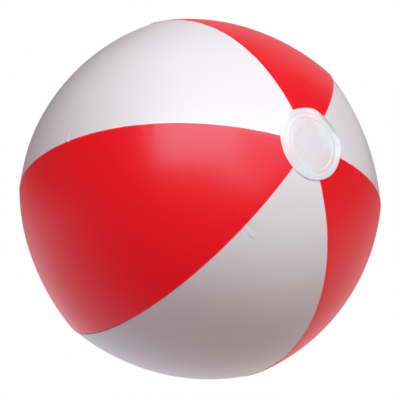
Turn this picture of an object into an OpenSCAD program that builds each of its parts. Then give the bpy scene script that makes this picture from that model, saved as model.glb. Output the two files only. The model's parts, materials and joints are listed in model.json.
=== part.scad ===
// Inflatable beach ball: six film panels, two clear end discs and a push-in valve with its own plug.
// Millimetres. The origin is the centre of the inflated ball and +Z runs through the top end disc.

/* [Ball] */
// Width of the inflated ball across its belly
ball_d = 276; // [200:1:400]
// How far each pole falls short of the belly's radius
pole_drop = 3.5; // [1:0.5:8]
// Thickness of the panel film
film_t = 0.25; // [0.15:0.05:0.6]
// Width of the welded lap where two panels meet, at the belly
lap_w = 5; // [2:0.5:10]
// Hole that the panels' cut tips leave at each pole
tip_hole_d = 28; // [20:1:40]

/* [End discs] */
// Diameter of an end disc
disc_d = 56; // [45:1:80]
// Thickness of an end disc
disc_t = 0.35; // [0.2:0.05:0.8]
// How far inside the panels' cut tips the disc goes flat; the ball can stand on that flat
flat_inset = 1; // [0.5:0.5:4]

/* [Valve base] */
// How far the valve stands above the belly, as an angle
valve_tilt = 20; // [0:1:45]
// Width of the base ring that is welded to the inside of the panel
base_w = 7.5; // [4:0.5:12]
// Thickness of the base ring
base_t = 0.8; // [0.5:0.1:1.5]
// How far the panel's hole stands back from the opening of the base ring
hole_margin = 0.5; // [0.2:0.1:1.5]
// Gap between the pushed-in stem's lug and the neck round it
recess_gap = 0.5; // [0.2:0.1:2]

/* [Valve stem] */
// Outside of the blow-up stem
stem_d = 11; // [9:0.5:14]
// Bore of the stem
stem_bore_d = 6.4; // [4:0.2:8]
// Length of the stem
stem_len = 15; // [12:1:24]
// How far the mouth sits below the panel when the valve is pushed in
mouth_recess = 1; // [0.6:0.1:1.5]
// How far the rim round the mouth stands out
rim_lip = 0.7; // [0.3:0.1:1.2]
// Height of the rim
rim_h = 1; // [0.6:0.1:1.5]
// How far the rolling neck reaches below the panel when the valve is pushed in
neck_depth = 8; // [5:0.5:10]
// Wall of the rolling neck
neck_t = 0.6; // [0.4:0.1:0.8]
// Height of the neck's collar, inside the base ring
neck_collar_h = 1.2; // [0.8:0.1:1.6]
// Height of the lug on the rim that carries the plug's hinge
lug_h = 1.2; // [1:0.1:1.5]

/* [Plug] */
// Height of the plug's cap
cap_h = 1.2; // [0.9:0.1:1.6]
// Radius of the tab that a thumb lifts the cap by
tab_r = 2; // [1.5:0.5:3]
// Length of the tapered spigot in the bore
spigot_len = 5; // [3:0.5:6]
// Width of the strap and of its hinge
strap_w = 4; // [3:0.5:5]
// Thickness of the strap
strap_t = 0.7; // [0.4:0.1:1]
// Length of the strap, from the cap's edge to its hinge
strap_len = 1.3; // [1:0.1:4]
// Diameter of the hinge bead
bead_d = 1.2; // [0.8:0.1:1.2]

/* [Check flap] */
// Thickness of the flap
flap_t = 0.5; // [0.3:0.1:0.8]
// How far the flap laps past the bore all round
flap_margin = 1.2; // [0.6:0.1:1.4]
// Diameter of the flap's hinge bead
flap_bead_d = 0.7; // [0.6:0.05:1]

/* [Hidden] */
$fn = 96;

// Gap that keeps two moving faces apart
face_gap = 0.05;
// Gap round a spigot or a stem that slides
run_gap = 0.06;
// How far a cut runs past the face it opens
over = 1;
// How far the neck's collar starts below the top of the base ring
neck_sink = 0.2;
// Depth of the solids that cut the base ring and the panel's hole out of the curved film
punch_h = 24;
// Steps round the long arcs
arc_steps = 360;

// Section of the ball: an arc whose centre stands a little off the axis, so that the poles come out low
panel_count = 6;
belly_r = ball_d / 2;
pole_r = belly_r - pole_drop;
arc_r = (pow(belly_r, 2) + pow(pole_r, 2)) / (2 * belly_r);
arc_off = belly_r - arc_r;
panel_angle = 360 / panel_count;
lap_angle = lap_w / belly_r * 180 / PI;
// The valve panel's middle, on +Y
valve_turn = 90;

disc_in_r = arc_r + film_t;
disc_out_r = disc_in_r + disc_t;
flat_r = tip_hole_d / 2 - flat_inset;

// Sizes along the stem, from the panel's outer face, outwards positive
mouth_z = -mouth_recess;
stem_end_z = mouth_z - stem_len;
cap_z = mouth_z + face_gap;
hinge_z = mouth_z + face_gap + bead_d / 2;
rim_r = stem_d / 2 + rim_lip;
hinge_reach = rim_r + strap_len;
lug_reach = hinge_reach + bead_d / 2;
// The recess round the stem clears the lug's corners and the plug's tab
recess_r = max(sqrt(pow(lug_reach, 2) + pow(strap_w / 2, 2)), rim_r + tab_r) + recess_gap;
base_hole_r = recess_r + neck_t;
neck_top_z = -film_t - neck_sink;
flap_r = stem_bore_d / 2 + flap_margin;
flap_hinge_x = flap_r + flap_bead_d / 2;
flap_z = stem_end_z - face_gap;
flap_hinge_z = flap_z - flap_bead_d / 2;

// Height of the ball's section at a distance from its axis, on an arc of the given radius
function arc_z(x, r) = sqrt(pow(r, 2) - pow(x - arc_off, 2));

// The right half of a ring round the arc's centre, outside the hole at the poles
module arc_band(r_in, r_out, x_min) {
    intersection() {
        translate([arc_off, 0]) difference() {
            circle(r = r_out, $fn = arc_steps);
            circle(r = r_in, $fn = arc_steps);
        }
        translate([x_min, -r_out - over]) square([belly_r + r_out, 2 * (r_out + over)]);
    }
}

// One panel's film, centred on the given direction, between two radii of the section
module panel_film(turn, r_in, r_out) {
    span = panel_angle + lap_angle;
    rotate([0, 0, turn - span / 2])
        rotate_extrude(angle = span) arc_band(r_in, r_out, tip_hole_d / 2);
}

// The place of the valve: +Z stands on the panel there, and -X is the side nearer the top disc
module at_valve() {
    rotate([0, 0, valve_turn])
        translate([arc_off + arc_r * cos(valve_tilt), 0, arc_r * sin(valve_tilt)])
            rotate([0, 90 - valve_tilt, 0]) children();
}

// Red panels lie outside the laps
module red_panel(i) {
    color("#d81f2a")
        panel_film(valve_turn + panel_angle * (2 * i + 1), arc_r, arc_r + film_t);
}

// White panels lie inside the laps
module white_film(i) {
    panel_film(valve_turn + panel_angle * 2 * i, arc_r - film_t, arc_r);
}

module white_panel(i) {
    color("#f2efee") white_film(i);
}

module white_valve_panel() {
    color("#f2efee") difference() {
        white_film(0);
        at_valve() cylinder(r = base_hole_r + hole_margin, h = punch_h, center = true);
    }
}

// End disc, flat in the middle and lying on the panels outside that
module end_disc() {
    color("#cfd3d6", 0.7) rotate_extrude() union() {
        intersection() {
            arc_band(disc_in_r, disc_out_r, flat_r);
            square([disc_d / 2, disc_out_r + over]);
        }
        translate([0, arc_z(flat_r, disc_in_r)])
            square([flat_r, arc_z(flat_r, disc_out_r) - arc_z(flat_r, disc_in_r)]);
    }
}

module top_end_disc() {
    end_disc();
}

module bottom_end_disc() {
    mirror([0, 0, 1]) end_disc();
}

// Ring welded to the inside of the valve panel
module valve_base() {
    color("#dfe3e6") intersection() {
        rotate_extrude() arc_band(arc_r - film_t - base_t, arc_r - film_t, tip_hole_d / 2);
        at_valve() difference() {
            cylinder(r = base_hole_r + base_w, h = punch_h, center = true);
            cylinder(r = base_hole_r, h = punch_h + 2 * over, center = true);
        }
    }
}

// Thin neck that rolls inside out when the stem is pulled: a collar and a cone down to the stem
module valve_neck() {
    stem_r = stem_d / 2 + run_gap;
    cone_z = neck_top_z - neck_collar_h;
    color("#dfe3e6") at_valve() rotate_extrude() polygon([
        [recess_r, neck_top_z],
        [base_hole_r, neck_top_z],
        [base_hole_r, cone_z],
        [stem_r + neck_t, -neck_depth],
        [stem_r, -neck_depth],
        [stem_r, -neck_depth + neck_t],
        [recess_r, cone_z + neck_t / 2]
    ]);
}

// Stem with its rim and the lug that carries the plug's hinge
module valve_stem() {
    color("#e6eaec") at_valve() difference() {
        union() {
            translate([0, 0, stem_end_z]) cylinder(d = stem_d, h = stem_len);
            translate([0, 0, mouth_z - rim_h]) cylinder(r = rim_r, h = rim_h);
            translate([-lug_reach, -strap_w / 2, mouth_z - lug_h]) cube([lug_reach, strap_w, lug_h]);
        }
        translate([0, 0, stem_end_z - over]) cylinder(d = stem_bore_d, h = stem_len + 2 * over);
    }
}

// Cap with its lifting tab, and a spigot tapered so that it swings clear of the bore
module valve_plug() {
    mouth_r = stem_bore_d / 2 - run_gap;
    tip_r = sqrt(pow(hinge_reach + mouth_r, 2) - pow(spigot_len + bead_d / 2, 2)) - hinge_reach;
    color("#f4f6f7") at_valve() union() {
        translate([0, 0, cap_z]) cylinder(r = rim_r, h = cap_h);
        translate([rim_r, 0, cap_z]) cylinder(r = tab_r, h = cap_h);
        translate([0, 0, cap_z - spigot_len]) cylinder(r1 = tip_r, r2 = mouth_r, h = spigot_len);
    }
}

// Short strap from the cap to its hinge bead on the lug
module plug_strap() {
    color("#f4f6f7") at_valve() difference() {
        union() {
            translate([-hinge_reach, strap_w / 2, hinge_z]) rotate([90, 0, 0])
                cylinder(d = bead_d, h = strap_w);
            translate([-hinge_reach, -strap_w / 2, hinge_z - strap_t / 2])
                cube([hinge_reach, strap_w, strap_t]);
        }
        translate([0, 0, cap_z - over]) cylinder(r = rim_r, h = cap_h + 2 * over);
    }
}

// Flap that air from inside holds shut over the end of the bore
module check_flap() {
    color("#e6eaec") at_valve() union() {
        translate([0, 0, flap_z - flap_t]) cylinder(r = flap_r, h = flap_t);
        translate([-flap_hinge_x, -strap_w / 2, flap_z - flap_t]) cube([flap_hinge_x, strap_w, flap_t]);
        translate([-flap_hinge_x, strap_w / 2, flap_hinge_z]) rotate([90, 0, 0])
            cylinder(d = flap_bead_d, h = strap_w);
    }
}

red_panel(0);  // red_panel_1
red_panel(1);  // red_panel_2
red_panel(2);  // red_panel_3
white_panel(1);  // white_panel_1
white_panel(2);  // white_panel_2
white_valve_panel();
top_end_disc();
bottom_end_disc();
valve_base();
valve_neck();
valve_stem();
valve_plug();
plug_strap();
check_flap();
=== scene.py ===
"""Inflatable beach ball: six film panels, two clear end discs and a blow-up valve with its plug."""

import json
import logging
import math
from collections.abc import Callable
from dataclasses import dataclass, field
from enum import Enum

import bmesh
import bpy
import numpy as np
from mathutils import Euler, Matrix, Vector


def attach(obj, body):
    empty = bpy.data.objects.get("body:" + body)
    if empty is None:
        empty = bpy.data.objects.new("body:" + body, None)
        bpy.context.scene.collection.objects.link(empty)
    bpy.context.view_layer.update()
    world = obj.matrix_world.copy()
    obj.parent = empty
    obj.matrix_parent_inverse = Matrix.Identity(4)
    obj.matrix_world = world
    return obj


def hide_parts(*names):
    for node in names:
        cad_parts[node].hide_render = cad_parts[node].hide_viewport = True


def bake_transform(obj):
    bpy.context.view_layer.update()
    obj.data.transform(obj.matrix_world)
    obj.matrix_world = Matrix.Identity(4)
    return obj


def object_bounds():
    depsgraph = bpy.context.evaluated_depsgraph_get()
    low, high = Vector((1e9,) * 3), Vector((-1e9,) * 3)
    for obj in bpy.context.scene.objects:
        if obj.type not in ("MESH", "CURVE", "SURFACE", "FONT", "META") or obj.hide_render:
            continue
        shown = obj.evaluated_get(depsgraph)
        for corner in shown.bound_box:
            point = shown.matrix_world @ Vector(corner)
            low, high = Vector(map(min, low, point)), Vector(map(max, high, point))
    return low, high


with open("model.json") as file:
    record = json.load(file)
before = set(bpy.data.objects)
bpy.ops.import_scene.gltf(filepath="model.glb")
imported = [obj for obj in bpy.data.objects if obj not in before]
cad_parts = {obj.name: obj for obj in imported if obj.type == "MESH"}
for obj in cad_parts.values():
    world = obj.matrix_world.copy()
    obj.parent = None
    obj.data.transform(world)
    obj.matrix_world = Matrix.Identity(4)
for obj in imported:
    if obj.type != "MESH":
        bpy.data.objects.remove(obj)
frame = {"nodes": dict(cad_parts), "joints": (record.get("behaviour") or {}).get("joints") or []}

Array = np.ndarray
Material = bpy.types.Material
Piece = bpy.types.Object
MM = 0.001
TURN = 2 * math.pi
CAD_BOUNDS = [list(corner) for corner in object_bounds()]
log = logging.getLogger("beach_ball")


class Side(Enum):
    """Which end of the ball a piece belongs to."""

    TOP = 1
    BOTTOM = -1


class Film(Enum):
    """The two films that the panels are cut from."""

    RED = "red"
    WHITE = "white"


# ---------------- shader maths

# Sockets of a Mix node when it mixes colours
MIX_FACTOR, MIX_A, MIX_B, MIX_RESULT = 0, 6, 7, 2


class Value:
    """A shader socket that combines with others, or with numbers, through Math nodes."""

    def __init__(self, shader: "Shader", socket: bpy.types.NodeSocket) -> None:
        """Wraps one output socket of a shader's tree."""
        self.shader = shader
        self.socket = socket

    def _math(self, operation: str, *values: "Value | float") -> "Value":
        """One Math node on this and other values."""
        links = {i: v for i, v in enumerate(values)}
        return self.shader.node("ShaderNodeMath", {"operation": operation}, links)

    def __add__(self, other: "Value | float") -> "Value":
        """This plus other."""
        return self._math("ADD", self, other)

    def __sub__(self, other: "Value | float") -> "Value":
        """This minus other."""
        return self._math("SUBTRACT", self, other)

    def __rsub__(self, other: "Value | float") -> "Value":
        """Other minus this."""
        return self._math("SUBTRACT", other, self)

    def __mul__(self, other: "Value | float") -> "Value":
        """This times other."""
        return self._math("MULTIPLY", self, other)

    __radd__ = __add__
    __rmul__ = __mul__

    def ramp(self, low: float, high: float) -> "Value":
        """A smooth step from 0 at low to 1 at high."""
        links = {"Value": self, "From Min": low, "From Max": high}
        return self.shader.node("ShaderNodeMapRange", {"interpolation_type": "SMOOTHSTEP"}, links)


class Shader:
    """The node tree of a material or a world, with one way to add any node."""

    def __init__(self, owner: Material | bpy.types.World) -> None:
        """Empties the owner's node tree.

        Args:
            owner: the material or world to build.
        """
        owner.use_nodes = True
        self.owner = owner
        self.tree = owner.node_tree
        self.tree.nodes.clear()

    def node(self, kind: str, settings: dict | None = None, links: dict | None = None,
             output: int | str | None = 0) -> Value | None:
        """Adds a node, applies its settings, then fills its sockets.

        Args:
            kind: the node's type.
            settings: properties of the node itself.
            links: socket name or index to a number, a tuple or a Value.
            output: which of its outputs to return, or None for a node without any.

        Returns:
            The chosen output as a Value.
        """
        made = self.tree.nodes.new(kind)
        for key, value in (settings or {}).items():
            setattr(made, key, value)
        for key, value in (links or {}).items():
            if isinstance(value, Value):
                self.tree.links.new(value.socket, made.inputs[key])
            else:
                made.inputs[key].default_value = value
        return None if output is None else Value(self, made.outputs[output])

    def place(self) -> Value:
        """The position on the object, in metres."""
        return self.node("ShaderNodeTexCoord", output="Object")

    def noise(self, scale: float, detail: float = 2.0, rough: float = 0.5) -> Value:
        """Noise over the object, from 0 to 1, with that many features to the metre."""
        links = {"Vector": self.place(), "Scale": scale, "Detail": detail, "Roughness": rough}
        return self.node("ShaderNodeTexNoise", {}, links, "Fac")

    def attribute(self, name: str) -> Value:
        """A number that the mesh carries at each point."""
        return self.node("ShaderNodeAttribute", {"attribute_name": name}, output="Fac")

    def mix(self, factor: Value | float, a: Value | tuple, b: Value | tuple) -> Value:
        """Colour a at factor 0 and colour b at factor 1."""
        links = {MIX_FACTOR: factor, MIX_A: a, MIX_B: b}
        return self.node("ShaderNodeMix", {"data_type": "RGBA"}, links, MIX_RESULT)

    def along(self, way: Value, axis: Vector) -> Value:
        """How far a direction runs along an axis, from -1 to 1."""
        links = {0: way, 1: tuple(axis)}
        return self.node("ShaderNodeVectorMath", {"operation": "DOT_PRODUCT"}, links, "Value")

    def bump(self, height: Value, strength: float, distance: float) -> Value:
        """A normal that height, from 0 to 1, raises by up to distance."""
        links = {"Height": height, "Strength": strength, "Distance": distance}
        return self.node("ShaderNodeBump", {}, links)

    def close(self, shaded: Value) -> Material | bpy.types.World:
        """Links a shader to the tree's output.

        Args:
            shaded: the finished shader.

        Returns:
            The material or world that owns the tree.
        """
        kind = "World" if isinstance(self.owner, bpy.types.World) else "Material"
        self.node(f"ShaderNodeOutput{kind}", {}, {"Surface": shaded}, None)
        return self.owner

    def principled(self, links: dict) -> Material:
        """Closes the material with a Principled shader that has these sockets."""
        return self.close(self.node("ShaderNodeBsdfPrincipled", {}, links))


Colour = tuple[float, float, float]


def opaque(colour: Colour, share: float = 1.0) -> tuple[float, float, float, float]:
    """A colour, or a share of it, with full alpha."""
    return (*(share * c for c in colour), 1.0)


# ---------------- finishes


@dataclass(frozen=True)
class FilmFinish:
    """Calendered soft film: even colour and faint haze, with a painted highlight along the cut edge,
    painted shade along one deeper groove, and a painted glow that stands in for light through the film
    from inside.
    """

    name: str
    colour: Colour
    shade: Colour
    # Painted highlight along the cut edge
    edge: Colour
    # Painted glow that stands in for light through the film
    glow: Colour
    # Painted shade along the deeper groove beside one weld
    painted_groove_shade: Colour
    gloss: Colour = (1.0, 1.0, 1.0)
    roughness: float = 0.35
    specular: float = 0.7
    coat: float = 0.15

    def build(self) -> Material:
        """The film's material.

        Returns:
            The finished material.
        """
        s = Shader(bpy.data.materials.new(self.name))
        cloud = s.noise(22.0, 3.0)
        grain = s.noise(420.0, 3.0, 0.6)
        peel = s.noise(150.0, 2.0)
        edge, groove_shade = s.attribute("edge"), s.attribute("groove_shade")
        body = s.mix(cloud.ramp(0.35, 0.7) * 0.5, opaque(self.colour), opaque(self.shade))
        # Painted highlight along the cut edge, then painted shade along the deeper groove
        colour = s.mix(groove_shade, s.mix(edge, body, opaque(self.edge)), opaque(self.painted_groove_shade))
        # Painted glow standing in for light through the film, darkened as painted shade in the deeper
        # groove
        glow = s.mix(groove_shade, opaque(self.glow), opaque(self.painted_groove_shade, 0.3))
        rough = grain * 0.06 + cloud * 0.05 + (self.roughness - 0.05) - edge * 0.03
        relief = peel * 0.7 + grain * 0.3
        return s.principled({
            "Base Color": colour,
            "Roughness": rough,
            "Specular IOR Level": self.specular,
            "Specular Tint": opaque(self.gloss),
            "Coat Weight": self.coat,
            "Coat Roughness": 0.2,
            "Emission Color": glow,
            "Emission Strength": 1.0,
            "Normal": s.bump(relief, 0.16, 0.00012),
        })


@dataclass(frozen=True)
class MilkyFinish:
    """Clear soft film or moulding that has gone slightly milky, with an even painted glow and painted
    shade where a margin is bent down along a fold.
    """

    name: str
    colour: Colour
    shade: Colour
    alpha: float
    # Painted glow, even over the surface
    glow: Colour = (0.03, 0.03, 0.03)
    roughness: float = 0.24
    # Share of the shade colour that is painted along the fold as shade
    fold_shade_share: float = 0.68

    def build(self) -> Material:
        """The milky material.

        Returns:
            The finished material.
        """
        s = Shader(bpy.data.materials.new(self.name))
        cloud = s.noise(90.0, 3.0)
        grain = s.noise(700.0, 2.0)
        weld = s.attribute("weld")
        body = s.mix(cloud.ramp(0.3, 0.7), opaque(self.colour), opaque(self.shade))
        # Painted shade where the disc's margin is bent down along the fold
        body_with_fold_shade = s.mix(s.attribute("fold"), body, opaque(self.shade, self.fold_shade_share))
        return s.principled({
            "Base Color": s.mix(weld * 0.15, body_with_fold_shade, opaque((1.0, 1.0, 1.0))),
            "Roughness": grain * 0.08 + self.roughness,
            "Alpha": cloud * 0.05 + weld * 0.04 + (self.alpha - 0.03),
            "Specular IOR Level": 0.5,
            "Coat Weight": 0.5,
            "Coat Roughness": 0.12,
            "Emission Color": opaque(self.glow),
            "Emission Strength": 1.0,
            "Normal": s.bump(cloud * 0.6 + grain * 0.4, 0.25, 0.0002),
        })


# In the finishes below, each glow is painted light; in the films it stands in for light through the film,
# the edge colour is a painted highlight on the cut edge, and the darkest colour is painted shade along
# the deeper groove beside one weld.
RED_FILM = FilmFinish(
    "red film", colour=(0.62, 0.0065, 0.0135), shade=(0.59, 0.0055, 0.0115), edge=(0.66, 0.05, 0.055),
    glow=(0.325, 0.001, 0.0025), painted_groove_shade=(0.17, 0.003, 0.006), gloss=(0.1, 1.0, 1.2),
    roughness=0.3, specular=0.5, coat=0.0)
WHITE_FILM = FilmFinish(
    "white film", colour=(0.86, 0.855, 0.865), shade=(0.845, 0.84, 0.85), edge=(0.87, 0.865, 0.875),
    glow=(0.087, 0.032, 0.036), painted_groove_shade=(0.7, 0.66, 0.67))
CLEAR_DISC = MilkyFinish(
    "clear disc film", colour=(0.93, 0.96, 0.965), shade=(0.90, 0.93, 0.935), alpha=0.62,
    glow=(0.085, 0.095, 0.105))
VALVE_VINYL = MilkyFinish(
    "moulded valve vinyl", colour=(0.80, 0.82, 0.83), shade=(0.76, 0.78, 0.79), alpha=0.95, roughness=0.3)
PLUG_VINYL = MilkyFinish(
    "moulded plug vinyl", colour=(0.86, 0.865, 0.87), shade=(0.82, 0.83, 0.84), alpha=0.97, roughness=0.3)


# ---------------- mesh helpers


def smooth(t: Array | float) -> Array | float:
    """A smooth step from 0 to 1 as t goes from 0 to 1."""
    t = np.clip(t, 0.0, 1.0)
    return t * t * (3.0 - 2.0 * t)


def new_piece(name: str, points: Array, faces: list, finish: Material, sharp_deg: float = 40) -> Piece:
    """A mesh object from points and faces, turned outwards and smooth except at its sharp edges.

    Args:
        name: the piece's name.
        points: n by 3 positions in metres.
        faces: lists of point numbers.
        finish: its material.
        sharp_deg: edges that turn by more than this stay sharp.

    Returns:
        The new object, linked to the scene.
    """
    mesh = bpy.data.meshes.new(name)
    mesh.from_pydata(points.tolist(), [], faces)
    mesh.validate()
    solid = bmesh.new()
    solid.from_mesh(mesh)
    bmesh.ops.recalc_face_normals(solid, faces=solid.faces)
    solid.to_mesh(mesh)
    solid.free()
    mesh.polygons.foreach_set("use_smooth", [True] * len(mesh.polygons))
    mesh.set_sharp_from_angle(angle=math.radians(sharp_deg))
    mesh.materials.append(finish)
    piece = bpy.data.objects.new(name, mesh)
    bpy.context.scene.collection.objects.link(piece)
    return piece


def mark(piece: Piece, name: str, values: Array) -> None:
    """Stores a number on every point of a piece for its material to read."""
    layer = piece.data.attributes.new(name, "FLOAT", "POINT")
    layer.data.foreach_set("value", values.astype(np.float32).ravel())


def sheet_faces(rows: int, cols: int, start: int = 0, closed: bool = False) -> list[tuple]:
    """Quads of a grid of points.

    Args:
        rows: number of rows of points.
        cols: number of points in a row.
        start: number of the first point.
        closed: whether each row joins end to start.

    Returns:
        The quads.
    """
    faces = []
    for i in range(rows - 1):
        for j in range(cols if closed else cols - 1):
            k = (j + 1) % cols
            row, above = start + i * cols, start + (i + 1) * cols
            faces.append((row + j, row + k, above + k, above + j))
    return faces


def shell_faces(rows: int, cols: int) -> list[tuple]:
    """Faces of a closed skin: an outer grid, an inner grid after it, and the walls round them.

    Args:
        rows: number of rows of points in each grid.
        cols: number of points in a row.

    Returns:
        The faces.
    """
    n = rows * cols
    faces = sheet_faces(rows, cols) + sheet_faces(rows, cols, n)
    rim = ([j for j in range(cols)]
           + [i * cols + cols - 1 for i in range(1, rows)]
           + [(rows - 1) * cols + j for j in range(cols - 2, -1, -1)]
           + [i * cols for i in range(rows - 2, 0, -1)])
    for a, b in zip(rim, rim[1:] + rim[:1], strict=True):
        faces.append((b, a, a + n, b + n))
    return faces


Bend = Callable[[Array, Array, Array], Array]
Solid = tuple[Array, list[tuple]]


def lathe(profile: Array, turns: int, bend: Bend | None = None, tube: bool = True) -> Solid:
    """Turns an outline about the Z axis.

    Args:
        profile: n by 2 radii and heights, in order round the outline.
        turns: number of steps round the axis.
        bend: optional function of radius, angle and height that gives a new height.
        tube: whether the outline closes on itself; if not, its two ends are capped.

    Returns:
        Points and faces.
    """
    angle = np.linspace(0.0, TURN, turns, endpoint=False)
    r, z = profile[:, 0:1], profile[:, 1:2]
    a = np.broadcast_to(angle, (len(profile), turns))
    height = np.broadcast_to(z, a.shape) if bend is None else bend(r + 0 * a, a, z + 0 * a)
    points = np.stack([r * np.cos(a), r * np.sin(a), height], axis=-1).reshape(-1, 3)
    faces = sheet_faces(len(profile), turns, closed=True)
    last = (len(profile) - 1) * turns
    if not tube:
        return points, faces + [tuple(range(turns)), tuple(range(last, last + turns))]
    for j in range(turns):
        k = (j + 1) % turns
        faces.append((last + j, last + k, k, j))
    return points, faces


def joined(first: Solid, second: Solid) -> Solid:
    """The points and faces of two solids as one."""
    moved = [tuple(i + len(first[0]) for i in face) for face in second[1]]
    return np.concatenate([first[0], second[0]]), first[1] + moved


def nearness(a: Array, middle: float, spread: float) -> Array:
    """Falls from 1 at a middle angle to nothing beyond the spread."""
    turn = (a - middle + math.pi) % TURN - math.pi
    return np.exp(-(turn / spread) ** 2)


def rounded(corners: list[tuple[float, float, float]], steps: int = 5) -> Array:
    """An outline with its corners rounded.

    Args:
        corners: x, y and corner radius of each corner, in order.
        steps: points on each rounded corner.

    Returns:
        The outline's points.
    """
    out = []
    n = len(corners)
    for i, (x, y, radius) in enumerate(corners):
        here = np.array([x, y])
        before = np.array(corners[i - 1][:2]) - here
        after = np.array(corners[(i + 1) % n][:2]) - here
        la, lb = np.linalg.norm(before), np.linalg.norm(after)
        if radius <= 0:
            out.append(here)
            continue
        reach = min(radius, 0.49 * la, 0.49 * lb)
        p, q = here + before / la * reach, here + after / lb * reach
        for t in np.linspace(0.0, 1.0, steps):
            out.append((1 - t) ** 2 * p + 2 * t * (1 - t) * here + t * t * q)
    return np.array(out)


# ---------------- the inflated form


@dataclass(frozen=True)
class Pucker:
    """A pinch across a weld, with its sizes in millimetres and its lean as a slope."""

    weld: int
    polar_deg: float
    high: float
    wide: float
    long: float
    lean: float


@dataclass
class BallForm:
    """The inflated film's surface: ridges at the welds, flatter panels between, drawn in at the poles."""

    seam_r: float = 139.4 * MM
    pole_fall: tuple[float, float] = (0.015, 0.0243)
    dip_belly: float = 0.0225
    dip_fade: float = 0.009
    ridge_round: float = 2.3 * MM
    weld_drift_deg: tuple[float, ...] = (-0.8, 0.5, 0.2, -1.6, 0.4, 1.3)
    lap: float = 5 * MM
    film_t: float = 0.3 * MM
    tip_hole_r: float = 14 * MM
    # Pressed line beside the edge of the red film
    groove_at: float = 1.3 * MM
    groove_deep: float = 0.06 * MM
    groove_wide: float = 0.4 * MM
    # Puckers across the welds: a number drawn for each weld, and the few that stand out
    puckers: int = 22
    pucker_high: float = 0.22 * MM
    placed: tuple[Pucker, ...] = (
        Pucker(4, 81.7, -0.65, 0.9, 9.0, 0.2),
        Pucker(4, 82.5, 0.35, 1.2, 7.0, 0.2),
        Pucker(5, 33.4, 0.4, 0.8, 6.0, 0.5),
        Pucker(5, 35.2, -0.45, 0.9, 7.0, 0.1),
        Pucker(5, 37.3, 0.35, 0.9, 8.0, -0.5))
    # Fine waves along the welds
    wave_high: float = 0.035 * MM
    wave_long: tuple[float, ...] = (11 * MM, 17 * MM, 26 * MM, 41 * MM)
    # Broad unevenness
    sway_high: float = 0.05 * MM
    # One weld has a deeper groove for a hand's width beside the belly, with painted shade along it
    hard_weld: int = 5
    hard_polar: float = math.radians(106)
    hard_spread: float = math.radians(20)
    hard_deep: float = 0.3 * MM
    hard_at: float = 0.7 * MM
    hard_wide: float = 0.6 * MM
    # One weld lies lower round the belly than the others
    low_weld: int = 4
    low_polar: float = math.radians(97)
    low_spread: float = math.radians(34)
    low_deep: float = 1.4 * MM
    low_wide: float = 24 * MM
    # Short hooked crease beside that weld, in the white film
    hook_turn: float = math.radians(308)
    hook_polar: float = math.radians(34.9)
    hook_r: float = 4.6 * MM
    hook_high: float = 0.5 * MM
    hook_wide: float = 0.9 * MM
    # The ring inside the film holds it to the valve
    valve_point: Vector = field(default_factory=Vector)
    valve_flat_r: float = 18 * MM
    valve_fade_r: float = 46 * MM
    belly_r: float = 138 * MM
    pole_drop: float = 3.5 * MM

    def __post_init__(self) -> None:
        """Draws the puckers, the same ones each time."""
        rng = np.random.default_rng(719)
        count = (6, self.puckers)
        self.pucker_polar = rng.uniform(0.25, math.pi - 0.25, count)
        self.pucker_size = rng.uniform(-1.0, 0.75, count) * self.pucker_high
        self.pucker_wide = rng.uniform(1.0, 2.4, count) * MM
        self.pucker_long = rng.uniform(2.5, 7.0, count) * MM
        self.pucker_lean = rng.uniform(-0.5, 0.5, count)
        taken = [0] * 6
        for pucker in self.placed:
            spot = pucker.weld, taken[pucker.weld]
            taken[pucker.weld] += 1
            self.pucker_polar[spot] = math.radians(pucker.polar_deg)
            self.pucker_size[spot] = pucker.high * MM
            self.pucker_wide[spot] = pucker.wide * MM
            self.pucker_long[spot] = pucker.long * MM
            self.pucker_lean[spot] = pucker.lean
        self.wave_phase = rng.uniform(0.0, TURN, (6, len(self.wave_long)))
        self.sway = rng.uniform(0.0, TURN, (3, 8))

    def seams(self) -> Array:
        """The welds' angles round the axis, in radians, with the first again at the end."""
        angles = np.arange(6) * TURN / 6 + np.radians(self.weld_drift_deg)
        return np.append(angles, angles[0] + TURN)

    def locate(self, turn: Array, polar: Array) -> tuple[Array, ...]:
        """Where points lie between the welds.

        Args:
            turn: angles round the axis.
            polar: angles from the top pole.

        Returns:
            The place across the panel from -1 to 1, the nearest weld's number, and the distance
            from that weld, positive on the red film's side.
        """
        seams = self.seams()
        t = (turn - seams[0]) % TURN + seams[0]
        panel = np.clip(np.searchsorted(seams, t, side="right") - 1, 0, 5)
        low, high = seams[panel], seams[panel + 1]
        across = 2 * (t - low) / (high - low) - 1
        near_low = across < 0
        weld = np.where(near_low, panel, (panel + 1) % 6)
        gap = np.where(near_low, t - low, high - t) * self.seam_r * np.sin(polar)
        return across, weld, np.where(panel % 2 == 0, gap, -gap)

    def pinch(self, weld: Array, away: Array, polar: Array) -> Array:
        """Height of the puckers and waves that cross the welds and die away into the panels.

        Args:
            weld: the nearest weld's number.
            away: the distance from it, positive on the red film's side.
            polar: angles from the top pole.

        Returns:
            The heights.
        """
        total = np.zeros_like(polar)
        along, reach = polar * self.seam_r, np.abs(away)
        for i in range(self.puckers):
            off = along - self.pucker_polar[weld, i] * self.seam_r - self.pucker_lean[weld, i] * away
            total += (self.pucker_size[weld, i] * np.exp(-(off / self.pucker_wide[weld, i]) ** 2)
                      * np.exp(-reach / self.pucker_long[weld, i]))
        for i, long in enumerate(self.wave_long):
            total += (self.wave_high * np.sin(TURN * along / long + self.wave_phase[weld, i])
                      * np.exp(-reach / ((5 + 2 * i) * MM)))
        return total * smooth(np.sin(polar) / 0.25)

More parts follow.
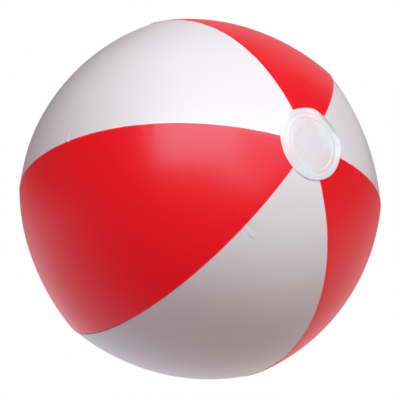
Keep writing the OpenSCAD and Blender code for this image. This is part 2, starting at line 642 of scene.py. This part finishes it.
    def hook(self, turn: Array, polar: Array) -> Array:
        """Height of the hooked crease.

        Args:
            turn: angles round the axis.
            polar: angles from the top pole.

        Returns:
            The heights: a ridge along part of a circle, with a furrow outside it.
        """
        x = (turn % TURN - self.hook_turn) * self.seam_r * math.sin(self.hook_polar)
        y = (polar - self.hook_polar) * self.seam_r
        off = np.hypot(x, y) - self.hook_r
        part = smooth((np.cos(np.arctan2(y, x) - 0.9) + 0.15) / 0.6)
        line = np.exp(-(off / self.hook_wide) ** 2)
        side = np.exp(-((off - 1.5 * MM) / (1.1 * MM)) ** 2)
        return self.hook_high * part * (line - 0.5 * side)

    def slack(self, turn: Array, polar: Array) -> Array:
        """Low, broad unevenness of the film.

        Args:
            turn: angles round the axis.
            polar: angles from the top pole.

        Returns:
            The heights.
        """
        out = np.zeros_like(polar)
        for i in range(8):
            a, b, c = self.sway[:, i]
            out += np.sin((2 + i % 4) * turn + a) * np.sin((3 + i // 2) * polar + b) * math.cos(c)
        return self.sway_high * out * np.sin(polar)

    def ridge(self, polar: Array | float) -> Array | float:
        """Distance from the centre to a weld's ridge."""
        c2 = np.cos(polar) ** 2
        return self.seam_r * (1 - self.pole_fall[0] * c2 - self.pole_fall[1] * c2 * c2)

    def radius(self, turn: Array, polar: Array) -> Array:
        """Distance from the ball's centre to the face where the two films meet.

        Args:
            turn: angles round the axis.
            polar: angles from the top pole.

        Returns:
            The distances.
        """
        across, weld, away = self.locate(turn, polar)
        c2 = np.cos(polar) ** 2
        ridge = self.ridge(polar)
        reach = np.abs(away)
        soft = reach / (np.sqrt(reach ** 2 + self.ridge_round ** 2) + self.ridge_round)
        depth = (self.dip_belly - self.dip_fade * c2) * smooth((np.sin(polar) - 0.1) / 0.32)
        r = ridge * (1 - depth * (1 - across ** 2) * soft)
        r += self.pinch(weld, away, polar) + self.slack(turn, polar) + self.hook(turn, polar)
        sag = np.exp(-((polar - self.low_polar) / self.low_spread) ** 2 - (reach / self.low_wide) ** 2)
        r -= self.low_deep * sag * (weld == self.low_weld)
        r -= self.groove_deep * np.exp(-((away - self.groove_at) / self.groove_wide) ** 2)
        r -= self.hard_deep * self.groove_shade(turn, polar)
        near = self.direction(turn, polar) @ np.array(self.valve_point.normalized())
        walk = np.arccos(np.clip(near, -1, 1)) * self.valve_point.length
        hold = 1 - smooth((walk - self.valve_flat_r) / (self.valve_fade_r - self.valve_flat_r))
        return r * (1 - hold) + self.plain_radius(polar) * hold

    def groove_shade(self, turn: Array, polar: Array) -> Array:
        """Strength of the deeper groove beside one weld, which also sets where shade is painted along it.

        Args:
            turn: angles round the axis.
            polar: angles from the top pole.

        Returns:
            The strengths, from 0 to 1.
        """
        _, weld, away = self.locate(turn, polar)
        length = np.exp(-((polar - self.hard_polar) / self.hard_spread) ** 4)
        line = np.exp(-((away - self.hard_at) / self.hard_wide) ** 2)
        return length * line * (weld == self.hard_weld)

    def plain_radius(self, polar: Array) -> Array:
        """Distance from the centre to the plain form that the valve's ring is moulded to.

        Args:
            polar: angles from the top pole.

        Returns:
            The distances.
        """
        pole_r = self.belly_r - self.pole_drop
        arc = (self.belly_r ** 2 + pole_r ** 2) / (2 * self.belly_r)
        off = self.belly_r - arc
        s = np.sin(polar)
        return off * s + np.sqrt(arc ** 2 - (off * np.cos(polar)) ** 2)

    @staticmethod
    def direction(turn: Array, polar: Array) -> Array:
        """Unit vectors from the centre."""
        s = np.sin(polar)
        return np.stack([s * np.cos(turn), s * np.sin(turn), np.cos(polar)], axis=-1)

    def points(self, turn: Array, polar: Array, lift: float) -> Array:
        """Points of the film, raised above the face where the two films meet."""
        return self.direction(turn, polar) * (self.radius(turn, polar) + lift)[..., None]

    def pole_height(self, radius: float) -> float:
        """Height of the highest film at a distance from the axis.

        Args:
            radius: the distance, no more than a quarter of the ball's radius.

        Returns:
            The height above the ball's centre.
        """
        turn = np.linspace(0.0, TURN, 181)
        polar = next(p for p in np.linspace(0.0, 0.26, 400) if self.ridge(p) * math.sin(p) >= radius)
        return float((self.radius(turn, np.full_like(turn, polar)) * math.cos(polar)).max())


@dataclass
class Panel:
    """One gore of film, cut off at both tips and lapped over or under its neighbours."""

    form: BallForm
    number: int
    film: Film
    node: str
    rows: int = 400
    half_cols: int = 30
    crowd: float = 3.6

    def grid(self) -> tuple[Array, Array]:
        """Angles of the panel's points, crowded towards its two welds, with the white film's laps.

        Returns:
            The angles round the axis and from the top pole.
        """
        seams = self.form.seams()
        low, high = seams[self.number], seams[self.number + 1]
        tip = math.asin(self.form.tip_hole_r / (self.form.belly_r - self.form.pole_drop))
        polar = np.linspace(tip, math.pi - tip, self.rows)[:, None]
        v = np.linspace(-1.0, 1.0, 2 * self.half_cols + 1)
        spread = np.sign(v) * (1 - np.sinh(self.crowd * (1 - np.abs(v))) / math.sinh(self.crowd))
        reach = 0.0 if self.film is Film.RED else self.form.lap
        lap = reach / (self.form.seam_r * np.sin(polar))
        turn = (low + high) / 2 + spread[None, :] * ((high - low) / 2 + lap)
        return turn, np.broadcast_to(polar, turn.shape)

    def build(self, finish: Material) -> Piece:
        """Makes the panel.

        Args:
            finish: the film's material.

        Returns:
            The panel, riding on the ball.
        """
        turn, polar = self.grid()
        t = self.form.film_t
        outer, inner = (t, 0.0) if self.film is Film.RED else (0.0, -t)
        layers = [self.form.points(turn, polar, lift) for lift in (outer, inner)]
        rows, cols = turn.shape
        points = np.concatenate([layer.reshape(-1, 3) for layer in layers])
        piece = new_piece(f"film_{self.node}", points, shell_faces(rows, cols), finish)
        away = self.form.locate(turn, polar)[2]
        # Where the material paints a highlight along the film's cut edge
        edge = np.exp(-((away - 0.3 * MM) / (0.6 * MM)) ** 2)
        mark(piece, "edge", np.tile(edge.ravel(), 2))
        # Where the deeper groove and its painted shade lie
        mark(piece, "groove_shade", np.tile(self.form.groove_shade(turn, polar).ravel(), 2))
        return piece


@dataclass
class Skin:
    """The six panels."""

    form: BallForm
    hole_r: float
    valve_frame: Matrix
    names: tuple[str, ...] = ("red_panel_3", "white_valve_panel", "red_panel_1",
                              "white_panel_1", "red_panel_2", "white_panel_2")

    def build(self, red: Material, white: Material) -> None:
        """Makes the six panels and cuts the valve's hole.

        Args:
            red: the red film's material.
            white: the white film's material.
        """
        for number, node in enumerate(self.names):
            film = Film.RED if node.startswith("red") else Film.WHITE
            holed = node == "white_valve_panel"
            cols, crowd = (56, 1.1) if holed else (30, 3.6)
            panel = Panel(self.form, number, film, node, half_cols=cols, crowd=crowd)
            piece = panel.build(red if film is Film.RED else white)
            if holed:
                self.cut_hole(piece)
            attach(piece, "ball")
            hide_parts(node)
            log.info("panel %s: %d faces", node, len(piece.data.polygons))

    def cut_hole(self, piece: Piece) -> None:
        """Cuts the round hole for the valve through the panel.

        Args:
            piece: the panel, whose mesh is replaced.
        """
        side = np.array([[self.hole_r, -8 * MM], [self.hole_r, 8 * MM]])
        points, faces = lathe(side, 72, tube=False)
        cutter = new_piece("hole_cutter", points, faces, piece.data.materials[0])
        cutter.data.transform(self.valve_frame)
        cut = piece.modifiers.new("valve hole", "BOOLEAN")
        cut.operation, cut.solver, cut.object = "DIFFERENCE", "EXACT", cutter
        graph = bpy.context.evaluated_depsgraph_get()
        done = bpy.data.meshes.new_from_object(piece.evaluated_get(graph))
        done.set_sharp_from_angle(angle=math.radians(40))
        piece.modifiers.clear()
        piece.data = done
        bpy.data.objects.remove(cutter)


@dataclass
class EndDisc:
    """Clear round film that closes a pole: two weld rings, then a free margin that stands proud."""

    form: BallForm
    side: Side
    node: str
    outer_r: float = 28.0 * MM
    thick: float = 0.4 * MM
    centre: tuple[float, float] = (0.0, 0.0)
    rings: tuple[float, ...] = (20.3 * MM, 24.3 * MM)
    ring_step: float = 0.4 * MM
    ring_wide: float = 0.55 * MM
    ring_fade: float = 2.2 * MM
    dome: float = 0.5 * MM
    # The margin stands up off the film on one side
    lift: float = 1.4 * MM
    lift_turn: float = math.radians(82)
    lift_spread: float = math.radians(45)
    # and is bent down again along a straight fold
    fold_high: float = 1.8 * MM
    fold_fall: float = 1.7 * MM
    fold_turn: float = math.radians(112)
    fold_at: float = 23.8 * MM
    fold_wide: float = 9 * MM
    fold_round: float = 0.6 * MM
    # where the film has been drawn out a little
    drawn: float = 1.4 * MM
    drawn_turn: float = math.radians(118)
    drawn_spread: float = math.radians(36)
    # Slight waves round the margin
    wave_high: float = 0.12 * MM
    gap: float = 0.12 * MM
    turns: int = 180

    def seat(self, x: Array, y: Array) -> Array:
        """Where the disc lies on the film.

        Args:
            x: places across the disc.
            y: places up the disc.

        Returns:
            The height just over the highest film at each place's distance from the ball's axis.
        """
        table = np.linspace(self.form.tip_hole_r, self.outer_r + 6 * MM, 60)
        top = np.array([self.form.pole_height(float(r)) for r in table])
        return np.interp(np.hypot(x, y), table, top) + self.form.film_t + self.gap

    def free(self, r: Array) -> Array:
        """Rises from 0 at the outer ring to 1 at the disc's edge."""
        return smooth((r - self.rings[-1]) / (self.outer_r - self.rings[-1]))

    def flap(self, r: Array, a: Array) -> Array:
        """Distance beyond the straight fold, eased over it."""
        along = r * np.cos(a - self.fold_turn) - self.fold_at
        return (along + np.sqrt(along ** 2 + self.fold_round ** 2)) / 2

    def relief(self, r: Array, a: Array) -> Array:
        """Height of the disc above the film's top.

        Args:
            r: distances from the disc's centre.
            a: angles round it.

        Returns:
            The heights.
        """
        out = self.dome * (1 - smooth(r / self.form.tip_hole_r))
        for ring in self.rings:
            past = r - ring
            step = smooth(past / self.ring_wide)
            out = out + self.ring_step * step * np.exp(-np.maximum(past, 0) / self.ring_fade)
        rise = 0.1 * MM + self.lift * nearness(a, self.lift_turn, self.lift_spread)
        rise = rise + self.wave_high * (np.sin(7 * a + 1.0) + np.sin(13 * a) / 1.5)
        along = r * np.cos(a - self.fold_turn) - self.fold_at
        crest = self.fold_high * smooth(1 + along / self.fold_wide)
        fall = self.fold_fall * self.flap(r, a) / (self.outer_r - self.fold_at)
        return out + self.free(r) * rise + crest - fall

    def build(self, finish: Material) -> Piece:
        """Makes the disc.

        Args:
            finish: the clear film's material.

        Returns:
            The disc, riding on the ball.
        """
        radii = np.concatenate([np.linspace(0.4 * MM, 19 * MM, 18),
                                np.linspace(19.3 * MM, self.outer_r, 44)])
        a = np.linspace(0.0, TURN, self.turns, endpoint=False)
        r, angle = np.meshgrid(radii, a, indexing="ij")
        sign = self.side.value
        wide = r + self.drawn * self.free(r) * nearness(angle, self.drawn_turn, self.drawn_spread)
        x, y = self.centre[0] + wide * np.cos(angle), self.centre[1] + wide * np.sin(angle)
        low = self.seat(x, y) + np.maximum(self.relief(r, angle), 0.0)
        top = np.stack([x, y, sign * (low + self.thick)], axis=-1)
        under = np.stack([x, y, sign * low], axis=-1)
        rows, cols = r.shape
        n = rows * cols
        middle = np.array([[*self.centre, top[0, 0, 2]], [*self.centre, under[0, 0, 2]]])
        points = np.concatenate([top.reshape(-1, 3), under.reshape(-1, 3), middle])
        faces = sheet_faces(rows, cols, 0, True) + sheet_faces(rows, cols, n, True)
        rim = (rows - 1) * cols
        for j in range(cols):
            k = (j + 1) % cols
            faces.append((k, j, 2 * n))
            faces.append((n + j, n + k, 2 * n + 1))
            faces.append((rim + j, rim + k, n + rim + k, n + rim + j))
        piece = new_piece(f"disc_{self.node}", points, faces, finish)
        weld = sum(np.exp(-((r - ring) / (0.8 * MM)) ** 2) for ring in self.rings)
        mark(piece, "weld", np.append(np.tile(weld.ravel(), 2), [0.0, 0.0]))
        # Where the material paints shade along the bent-down margin
        fold = smooth((self.flap(r, angle) - 0.4 * MM) / (1.5 * MM)) * min(1.0, self.fold_fall / MM)
        mark(piece, "fold", np.append(np.tile(fold.ravel(), 2), [0.0, 0.0]))
        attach(piece, "ball")
        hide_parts(self.node)
        log.info("end disc %s", self.node)
        return piece


# ---------------- the valve


@dataclass
class Valve:
    """Blow-up valve: neck, stem, plug and strap, drawn along its own axis and then put in place."""

    frame: Matrix
    vinyl: Material
    plug_vinyl: Material
    bore_r: float = 3.2 * MM
    stem_r: float = 5.5 * MM
    rim_r: float = 6.2 * MM
    rim_h: float = 1.0 * MM
    mouth: float = -1.0 * MM
    stem_len: float = 15 * MM
    neck_r: float = 9.5 * MM
    neck_deep: float = 8 * MM
    neck_t: float = 0.75 * MM
    cap_h: float = 1.2 * MM
    gap: float = 0.05 * MM
    spigot: float = 5 * MM
    tab_r: float = 2 * MM
    hinge_reach: float = 7.5 * MM
    hinge_z: float = -0.35 * MM
    strap_w: float = 4 * MM
    turns: int = 72

    @classmethod
    def on_joints(cls, vinyl: Material, plug_vinyl: Material) -> "Valve":
        """Places a valve by its joints, with +Z out of the film and -X towards the top pole.

        Args:
            vinyl: the material of all but the plug and its strap.
            plug_vinyl: the material of those two.

        Returns:
            The valve.
        """
        joints = {joint["name"]: joint for joint in frame["joints"]}
        out = Vector(joints["valve_pull"]["axis"]).normalized()
        side = -Vector(joints["plug_hinge"]["axis"]).normalized()
        down = side.cross(out)
        origin = Vector(joints["plug_hinge"]["pos_m"]) - out * cls.hinge_z + down * cls.hinge_reach
        turned = Matrix((down, side, out)).transposed().to_4x4()
        return cls(Matrix.Translation(origin) @ turned, vinyl, plug_vinyl)

    def settle(self, name: str, solid: Solid, finish: Material) -> Piece:
        """Makes a piece of the valve and puts it in its place on the ball.

        Args:
            name: the piece's name.
            solid: its points, on the valve's own axes, and faces.
            finish: its material.

        Returns:
            The piece.
        """
        piece = new_piece(name, *solid, finish, sharp_deg=50)
        piece.data.transform(self.frame)
        log.info("valve piece %s", name)
        return piece

    def stem(self) -> None:
        """Makes the stem: tube, rounded rim and the hinge lug."""
        m, foot = self.mouth, self.mouth - self.stem_len
        outline = rounded([
            (self.bore_r, m, 0.3 * MM), (self.rim_r, m, 0.35 * MM),
            (self.rim_r, m - self.rim_h, 0.3 * MM),
            (self.stem_r, m - self.rim_h - 0.3 * MM, 0.3 * MM), (self.stem_r, foot, 0.4 * MM),
            (self.bore_r, foot, 0.3 * MM)])
        solid = joined(lathe(outline, self.turns), self.lug())
        piece = self.settle("valve_stem_tube", solid, self.vinyl)
        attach(piece, "stem")
        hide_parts("valve_stem")

    def lug(self) -> Solid:
        """The lug that stands out of the rim under the plug's hinge.

        Returns:
            Points and faces.
        """
        reach, half = self.hinge_reach + 0.6 * MM, self.strap_w / 2
        top, low = self.mouth, self.mouth - 1.2 * MM
        outline = rounded([(-self.stem_r + 0.3 * MM, -half, 0.0), (-self.stem_r + 0.3 * MM, half, 0.0),
                           (-reach, half, 0.7 * MM), (-reach, -half, 0.7 * MM)])
        edge = 0.2 * MM
        middle = outline.mean(axis=0)
        rings = [(low, 0.92), (low + edge, 1.0), (top - edge, 1.0), (top, 0.92)]
        layers = [np.column_stack([middle + (outline - middle) * k, np.full(len(outline), z)])
                  for z, k in rings]
        n = len(outline)
        faces = sheet_faces(len(layers), n, closed=True)
        faces += [tuple(range(n)), tuple(range(3 * n, 4 * n))]
        return np.concatenate(layers), faces

    def plug(self) -> None:
        """Makes the plug: a dished cap with a lifting tab, and a tapered spigot."""
        base = self.mouth + self.gap
        top = base + self.cap_h
        neck = self.bore_r - 0.1 * MM
        tip = base - self.spigot
        outline = rounded([
            (0.3 * MM, top - 0.25 * MM, 0.0), (self.rim_r * 0.55, top - 0.25 * MM, 0.4 * MM),
            (self.rim_r * 0.68, top, 0.5 * MM), (self.rim_r, top, 0.45 * MM),
            (self.rim_r, base, 0.3 * MM), (neck, base, 0.15 * MM),
            (neck - 0.15 * MM, base - 1.2 * MM, 0.3 * MM), (1.9 * MM, tip, 0.5 * MM),
            (0.3 * MM, tip, 0.0)])
        solid = joined(lathe(outline, self.turns, tube=False), self.tab(base, top))
        piece = self.settle("valve_plug_cap", solid, self.plug_vinyl)
        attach(piece, "plug")
        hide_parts("valve_plug")

    def tab(self, base: float, top: float) -> Solid:
        """The ribbed tongue that a thumb lifts the plug by.

        Args:
            base: height of the cap's underside.
            top: height of the cap's top.

        Returns:
            Points and faces.
        """
        rows, cols = 15, 15
        x = self.rim_r - 0.6 * MM + np.linspace(0, self.tab_r + 0.6 * MM, rows)
        out = []
        for level, ribbed, inward in ((top - 0.25 * MM, 1, 1), (base + 0.2 * MM, 0, -1)):
            for i, place in enumerate(x):
                past = max(0.0, place - self.rim_r)
                half = math.sqrt(max(self.tab_r ** 2 - past ** 2, (0.25 * MM) ** 2))
                y = np.linspace(-half, half, cols)
                rib = ribbed * 0.14 * MM * math.cos(TURN * i / 3.5)
                z = level + rib - inward * 0.18 * MM * (np.abs(y) / half) ** 6
                out.append(np.column_stack([np.full(cols, place), y, z]))
        return np.concatenate(out), shell_faces(rows, cols)

    def strap(self) -> None:
        """Makes the strap: a low arch from the lug over the hinge to the cap's edge."""
        start, end = -self.hinge_reach - 0.55 * MM, -self.rim_r + 0.5 * MM
        rows, cols = 21, 9
        s = np.linspace(0.0, 1.0, rows)
        x = start + (end - start) * s
        arch = self.hinge_z - 0.32 * MM + 0.45 * MM * np.sin(math.pi * np.clip(s * 1.1, 0, 1)) ** 0.7
        half = self.strap_w / 2 * (1 - 0.12 * np.sin(math.pi * s))
        thick = 0.42 * MM + 0.12 * MM * np.cos(TURN * s)
        layers = []
        for up in (1, 0):
            for place, side, height in zip(x, half, arch + up * thick, strict=True):
                y = np.linspace(-side, side, cols)
                layers.append(np.column_stack([np.full(cols, place), y, np.full(cols, height)]))
        solid = np.concatenate(layers), shell_faces(rows, cols)
        piece = self.settle("plug_strap_web", solid, self.plug_vinyl)
        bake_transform(piece)
        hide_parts("plug_strap")

    def neck(self) -> None:
        """Makes the rolling neck: a thin cup from the base ring down to the stem."""
        radii = np.linspace(self.stem_r + 0.015 * MM, self.neck_r + 0.42 * MM, 26)
        fall = smooth((self.neck_r - 0.1 * MM - radii) / (self.neck_r - self.stem_r - 0.1 * MM))
        top = -0.42 * MM - (self.neck_deep - 0.42 * MM - self.neck_t) * fall

        def height(r: Array, a: Array, z: Array) -> Array:
            """Adds the soft folds that rolling leaves in the neck."""
            swell = np.sin(math.pi * np.clip((r - self.stem_r) / (self.neck_r - self.stem_r), 0, 1))
            return z + swell * (0.22 * MM * np.sin(9 * a) + 0.12 * MM * np.sin(14 * a + 1.0))

        outline = np.concatenate([np.column_stack([radii, top]),
                                  np.column_stack([radii[::-1], top[::-1] - self.neck_t])])
        piece = self.settle("valve_neck_cup", lathe(outline, self.turns, height), self.vinyl)
        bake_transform(piece)
        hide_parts("valve_neck")

    def dress_inner(self) -> None:
        """Gives the two moulded pieces inside the film their material."""
        for node in ("valve_base", "check_flap"):
            mesh = frame["nodes"][node].data
            mesh.materials.clear()
            mesh.materials.append(self.vinyl)

    def build(self) -> None:
        """Makes every piece of the valve."""
        self.neck()
        self.stem()
        self.plug()
        self.strap()
        self.dress_inner()


# ---------------- studio


@dataclass
class Studio:
    """White backdrop, soft boxes above the camera, a bright sweep below and behind, and the camera."""

    floor_z: float
    azimuth: float = math.radians(-82.34)
    elevation: float = math.radians(47.68)
    roll: float = math.radians(63.03)
    distance: float = 3.02
    field_width: float = 0.3059
    aim: tuple[float, float] = (0.23 * MM, -0.28 * MM)
    pale: Colour = (1.0, 1.0, 1.0)
    room: Colour = (0.088, 0.08, 0.082)
    sweep_left: Colour = (0.82, 0.90, 0.98)
    sweep_right: Colour = (0.76, 0.65, 0.64)
    sweep_rise: tuple[float, float] = (-0.12, 0.25)
    sweep_depth: tuple[float, float] = (-0.65, 0.8)
    lamp_colour: Colour = (0.955, 0.985, 1.01)
    lamp_away: float = 1.7

    def __post_init__(self) -> None:
        """Works out the camera's right, up and back directions."""
        back = Vector((1, 0, 0))
        back.rotate(Euler((0, -self.elevation, self.azimuth)))
        side = Vector((0, 0, 1)).cross(back).normalized()
        rise = back.cross(side)
        self.back = back
        self.right = side * math.cos(self.roll) + rise * math.sin(self.roll)
        self.up = rise * math.cos(self.roll) - side * math.sin(self.roll)

    def camera(self) -> None:
        """Makes the camera at the ball's three-quarter view, with the pole towards the upper right."""
        data = bpy.data.cameras.new("camera")
        data.sensor_width = 36.0
        data.lens = data.sensor_width * self.distance / self.field_width
        data.clip_end = 50.0
        camera = bpy.data.objects.new("camera", data)
        axes = Matrix((self.right, self.up, self.back)).transposed()
        place = self.right * self.aim[0] + self.up * self.aim[1] + self.back * self.distance
        camera.matrix_world = Matrix.Translation(place) @ axes.to_4x4()
        bpy.context.scene.collection.objects.link(camera)
        bpy.context.scene.camera = camera

    def lamp(self, name: str, seen: tuple[float, float, float], size: tuple[float, float],
             glow: float) -> None:
        """Adds a soft box that faces the ball.

        Args:
            name: the light's name.
            seen: where it stands, by the camera's right, up and towards the camera.
            size: its width across the view and its height.
            glow: brightness of its face, where the backdrop is 1.
        """
        data = bpy.data.lights.new(name, "AREA")
        data.shape, data.size, data.size_y = "RECTANGLE", *size
        data.energy = glow * math.pi * size[0] * size[1]
        data.color = self.lamp_colour
        light = bpy.data.objects.new(name, data)
        back = (self.right * seen[0] + self.up * seen[1] + self.back * seen[2]).normalized()
        side = self.up.cross(back).normalized()
        axes = Matrix((side, back.cross(side), back)).transposed()
        light.matrix_world = Matrix.Translation(back * self.lamp_away) @ axes.to_4x4()
        bpy.context.scene.collection.objects.link(light)

    def surround(self) -> None:
        """Makes the world: a dim room with a bright sweep, white wherever the camera sees it."""
        s = Shader(bpy.data.worlds.new("surround"))
        way = s.node("ShaderNodeTexCoord", output="Generated")
        low = s.along(way, -self.up).ramp(*self.sweep_rise)
        behind = s.along(way, -self.back).ramp(*self.sweep_depth)
        left = s.along(way, -self.right).ramp(-0.5, 0.5)
        sweep = s.mix(left, opaque(self.sweep_right), opaque(self.sweep_left))
        lit = s.mix(low * behind, opaque(self.room), sweep)
        seen = s.node("ShaderNodeLightPath", output="Is Camera Ray")
        colour = s.mix(seen, lit, opaque(self.pale))
        bpy.context.scene.world = s.close(s.node("ShaderNodeBackground", {}, {"Color": colour}))

    def floor(self) -> None:
        """Makes the pale floor, which lets the sweep's light through."""
        s = Shader(bpy.data.materials.new("pale floor"))
        seen = s.node("ShaderNodeLightPath", output="Is Camera Ray")
        pale = s.node("ShaderNodeEmission", {}, {"Color": opaque(self.pale)})
        clear = s.node("ShaderNodeBsdfTransparent")
        finish = s.close(s.node("ShaderNodeMixShader", {}, {0: seen, 1: clear, 2: pale}))
        mesh = bpy.data.meshes.new("floor")
        half, z = 12.0, self.floor_z
        corners = [(-half, -half, z), (half, -half, z), (half, half, z), (-half, half, z)]
        mesh.from_pydata(corners, [], [(0, 1, 2, 3)])
        mesh.materials.append(finish)
        floor = bpy.data.objects.new("floor", mesh)
        bpy.context.scene.collection.objects.link(floor)

    def build(self) -> None:
        """Sets up camera, surround and lights."""
        self.camera()
        self.surround()
        self.floor()
        self.lamp("soft box", (0.06, 0.62, 0.77), (1.75, 1.1), 4.25)
        self.lamp("top fill", (0.25, 0.5, -0.83), (1.5, 1.3), 0.35)
        self.lamp("side box", (0.64, 0.62, 0.45), (0.9, 0.68), 3.5)
        bpy.context.scene.view_settings.view_transform = "Standard"
        log.info("studio ready")


def main() -> None:
    """Builds the ball piece by piece around the frame."""
    logging.basicConfig(level=logging.INFO, format="%(name)s: %(message)s")
    Studio(floor_z=CAD_BOUNDS[0][2] - 0.8 * MM).build()
    valve = Valve.on_joints(VALVE_VINYL.build(), PLUG_VINYL.build())
    form = BallForm(valve_point=valve.frame.translation)
    red, white, clear = RED_FILM.build(), WHITE_FILM.build(), CLEAR_DISC.build()
    Skin(form, valve.neck_r + 0.5 * MM, valve.frame).build(red, white)
    EndDisc(form, Side.TOP, "top_end_disc", centre=(0.0, 3.2 * MM)).build(clear)
    EndDisc(form, Side.BOTTOM, "bottom_end_disc", lift=0.5 * MM, lift_turn=math.radians(215),
            fold_high=0.0, fold_fall=0.0, drawn=0.0).build(clear)
    valve.build()


if __name__ == "__main__":
    main()
